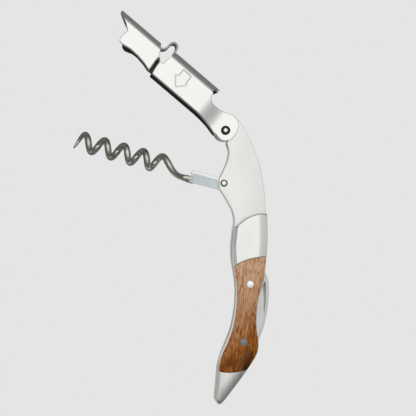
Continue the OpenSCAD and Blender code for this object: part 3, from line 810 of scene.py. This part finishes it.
# x runs along the worm from its pivot, in mm
worm = dict(
    wire=2.5, coil=8.8, pitch=8.25, turns=4,
    axis=1.0,                                     # the coil's axis above the pivot line
    shankFrom=12.9, coilFrom=17.0, lastPeak=60.4,
    tipTurn=144,                                  # degrees of coil past the last peak
    taper=4.5, lean=4,                            # over which the point is ground, and leans outwards
    tangFace=6.95,                                # height of the CAD tang's upper face
    blockZ=(5.45, 6.78), cheekZ=(6.2, 6.95),      # heights of the drawn tang's two parts
    cheek=[(2.75, 0.65), (12.6, 0.65), (13.9, -0.1), (14.0, -3.1), (1.6, -3.1)],
)


def wormTip():
    # where the point lies: the last peak plus tipTurn / 360 of the pitch
    return worm["lastPeak"] + worm["pitch"] * worm["tipTurn"] / 360


def wormPath(x):
    # a shank that runs into a right-handed helix; at t, from 0 to 1 along the run-in, the first half turn has
    # come 0.86 t ^ 1.35 + 0.14 t ^ 8 of its way
    first = worm["lastPeak"] - worm["pitch"] * worm["turns"]
    t = np.clip((x - worm["coilFrom"]) / (first - worm["coilFrom"]), 0, 1)
    runIn = 0.86 * t ** 1.35 + 0.14 * t ** 8
    turn = np.where(x > first, (x - worm["lastPeak"]) * 360 / worm["pitch"],
                    -360 * worm["turns"] - 180 * (1 - runIn))
    # the ground point keeps to the coil's outer side
    r = (worm["coil"] - worm["wire"] * np.clip(0.12 + 0.88 * (wormTip() - x) / worm["lean"], 0.1, 1)) / 2
    a = np.radians(turn)
    return np.stack([x, worm["axis"] + r * np.cos(a), tool["thickness"] / 2 - r * np.sin(a)], -1)


def wormPiece():
    # a round wire carried along the path, hammered flat at its root; its radius falls with the square root of
    # the distance left to the point
    tip = wormTip()
    x = np.r_[np.linspace(worm["shankFrom"] - 0.6, worm["coilFrom"], 30)[:-1],
              np.linspace(worm["coilFrom"], tip - 0.6, 640)[:-1],
              tip - 0.6 * (1 - np.sin(np.linspace(0, math.pi / 2, 16)))]
    centre = wormPath(x)
    d = wormPath(x + 0.01) - wormPath(x - 0.01)
    d /= np.linalg.norm(d, axis=1, keepdims=True)
    side = np.cross(d, [0, -0.3, 1])
    side /= np.linalg.norm(side, axis=1, keepdims=True)
    up = np.cross(side, d)
    r = worm["wire"] / 2 * np.minimum(1, 0.02 + 0.98 * np.sqrt(np.clip((tip - x) / worm["taper"], 0, 1)))
    flat = smoothstep((worm["shankFrom"] + 5.5 - x) / 4.5)
    t = np.linspace(0, 2 * math.pi, 25)[:-1]
    # the wire is a little wider where it crosses the coil's front and back
    level = np.abs(centre[:, 2] - tool["thickness"] / 2) / (0.5 * worm["coil"])
    across = (side[:, None] * np.cos(t)[:, None]) * (r * (1 + 0.28 * flat + 0.14 * level))[:, None, None]
    along = (up[:, None] * np.sin(t)[:, None]) * (r * (1 - 0.35 * flat))[:, None, None]
    ring = centre[:, None] + across + along
    points = placed(ring[..., 0], ring[..., 1], ring[..., 2], tool["wormAngle"], wormPivot).reshape(-1, 3)
    faces = tubeFaces(len(x), len(t))
    return newPiece("worm_wire", points, faces, "worm", "worm", ["worm"], smooth=70)


def wormLoop(points):
    # an outline from the worm's own axes to the tool's
    line = np.array(points, float)
    return placed(line[:, 0], line[:, 1], 0.0, tool["wormAngle"], wormPivot)[:, :2]


wormPiece()
slabPiece("worm_tang_block", outerLoop("worm_tang", worm["tangFace"]), *worm["blockZ"], 0.15,
          "worm", "plate", "tang_steel", ["worm_tang"])
slabPiece("worm_tang_cheek", wormLoop(worm["cheek"][::-1]), *worm["cheekZ"], 0.1,
          "worm", "tang", "tang_steel", [])

# mm from the knife's pivot
knife = dict(
    low=5.45, high=6.95,                                                                # its faces' heights
    nickFrom=10.8, nickTo=24.8,
    nickOuter=[(10.8, 9.4), (17, 10.0), (22.6, 10.1), (24.8, 9.9)],                     # (y, x)
    nickWide=[(10.8, 0.05), (14, 0.5), (19, 0.85), (22.5, 1.35), (23.8, 0.8), (24.8, 0.05)],    # (y, width)
    nickSteep=0.45,
    corners=[(-3.6, -2.35), (3.5, -3.45), (8.4, 30.4), (6.2, 31.2)],
)
knifeShape = dict(
    crowd=1.0,
    left=(1.6, 0.5, 1.0, 0.05), right=(1.2, 0.1, 1.0, 0.06),
    low=(0.2, 0.02, 1.0, 0.05), high=(0.3, 0.02, 1.0, 0.05),
)


def nailNick(plan):
    # a long V groove near the spine: nickSteep w (1 - |2 s - 1|), s running from 0 to 1 across its width w
    x, y = plan[..., 0] - knifePivot[0], plan[..., 1] - knifePivot[1]
    wide = through(knife["nickWide"], y)
    s = np.clip((through(knife["nickOuter"], y) - x) / wide, 0, 1)
    within = (y > knife["nickFrom"]) & (y < knife["nickTo"])
    return knife["nickSteep"] * wide * (1 - np.abs(2 * s - 1)) * within


patchPiece("knife_blade_sheet", outerLoop("knife_blade", knife["low"]),
           [knifePivot + c for c in knife["corners"]],
           260, 110, knifeShape, knife["low"], knife["high"],
           "knife", "blade", "knife_blade", relief=nailNick)
print("worm and knife made")

cadMaterials = dict(
    upper_spring="spring", knife_spring="spring", tip_spacer="spring", bolster_pins="pin", tip_pins="pin",
    spring_pin="pin", lever_washers="pin", worm_washers="bronze", knife_washers="bronze", spring_rivet="pin",
    claw_rivet="pin",
)
for node, look in cadMaterials.items():
    mesh = frame["nodes"][node].data
    mesh.materials.clear()
    mesh.materials.append(materials[look])
print("carried-over nodes finished")

studio = dict(
    floorColour="#e5e5e5",
    overhead=1.06,                    # brightness straight above
    towards=(0.04, 0.20, 1.0),        # where the soft box hangs, from the tool
    # brightness by the cosine of the angle from the soft box's middle
    sky=[(0.0, 0.12), (0.25, 0.15), (0.45, 0.20), (0.62, 0.29), (0.78, 0.46), (0.87, 0.74), (0.93, 1.0)],
    floorGlow=(0.24, 0.70),           # what the floor gives back beside the lever and beside the handle
    glowAcross=(0.6, -0.8),           # the way from the lever's side of the floor to the handle's
    glowFrom=-0.009, glowTo=-0.006,   # m along that way
    reach=500,                        # mm from the camera to the tool
    frameWide=173.3,                  # mm across the picture at the tool
    lookAt=(15.2, 0.1, 6.2),          # mm
    yaw=7.0,                          # degrees; the camera stands to the left
)


def makeFloor():
    # pale paper that looks evenly lit but gives back less light than it shows, and more on the handle's side
    points = np.array([(-1500, -1500, 0), (1500, -1500, 0), (1500, 1500, 0), (-1500, 1500, 0)]) * mm
    mesh = bpy.data.meshes.new("floor")
    mesh.from_pydata(points.tolist(), [], [(0, 1, 2, 3)])
    floor = bpy.data.objects.new("floor", mesh)
    floor.location.z = -0.05 * mm
    bpy.context.scene.collection.objects.link(floor)
    material = bpy.data.materials.new("pale_paper_floor")
    material.use_nodes = True
    tree = material.node_tree
    tree.nodes.clear()
    paths = addNode(tree, "ShaderNodeLightPath")
    place = addNode(tree, "ShaderNodeTexCoord")
    along = addNode(tree, "ShaderNodeVectorMath", {0: place.outputs["Object"]}, operation="DOT_PRODUCT")
    along.inputs[1].default_value = (*studio["glowAcross"], 0)
    glow = spanned(tree, along.outputs["Value"], studio["glowFrom"], studio["glowTo"], *studio["floorGlow"])
    pale = addNode(tree, "ShaderNodeEmission", Color=linear(studio["floorColour"]), Strength=1.0)
    dim = addNode(tree, "ShaderNodeEmission", {"Strength": glow}, Color=linear(studio["floorColour"]))
    seen = paths.outputs["Is Camera Ray"]
    mix = addNode(tree, "ShaderNodeMixShader", {0: seen, 1: dim.outputs[0], 2: pale.outputs[0]})
    addNode(tree, "ShaderNodeOutputMaterial", {"Surface": mix.outputs[0]})
    mesh.materials.append(material)


def makeSky():
    # one broad soft box nearly overhead, falling off to dark walls
    world = bpy.data.worlds.new("studio")
    bpy.context.scene.world = world
    world.use_nodes = True
    tree = world.node_tree
    tree.nodes.clear()
    place = addNode(tree, "ShaderNodeTexCoord")
    axis = np.array(studio["towards"]) / np.linalg.norm(studio["towards"])
    facing = addNode(tree, "ShaderNodeVectorMath", {0: place.outputs["Generated"]}, operation="DOT_PRODUCT")
    facing.inputs[1].default_value = axis.tolist()
    light = ramp(tree, facing.outputs["Value"], studio["sky"])
    back = addNode(tree, "ShaderNodeBackground", {"Color": light}, Strength=studio["overhead"])
    addNode(tree, "ShaderNodeOutputWorld", {"Surface": back.outputs[0]})


def makeCamera():
    # looks down on the tool from reach, turned by yaw about the tool's own length
    data = bpy.data.cameras.new("camera")
    camera = bpy.data.objects.new("camera", data)
    bpy.context.scene.collection.objects.link(camera)
    a = math.radians(studio["yaw"])
    at = np.array(studio["lookAt"]) * mm
    away = np.array([-math.sin(a), 0, math.cos(a)])
    camera.location = at + away * studio["reach"] * mm
    camera.rotation_euler = (0, -a, 0)
    data.sensor_width = 36
    data.lens = 36 * studio["reach"] / studio["frameWide"]
    data.clip_start = 0.01
    bpy.context.scene.camera = camera


makeFloor()
makeSky()
makeCamera()
bpy.context.scene.view_settings.view_transform = "Standard"
print("studio made")
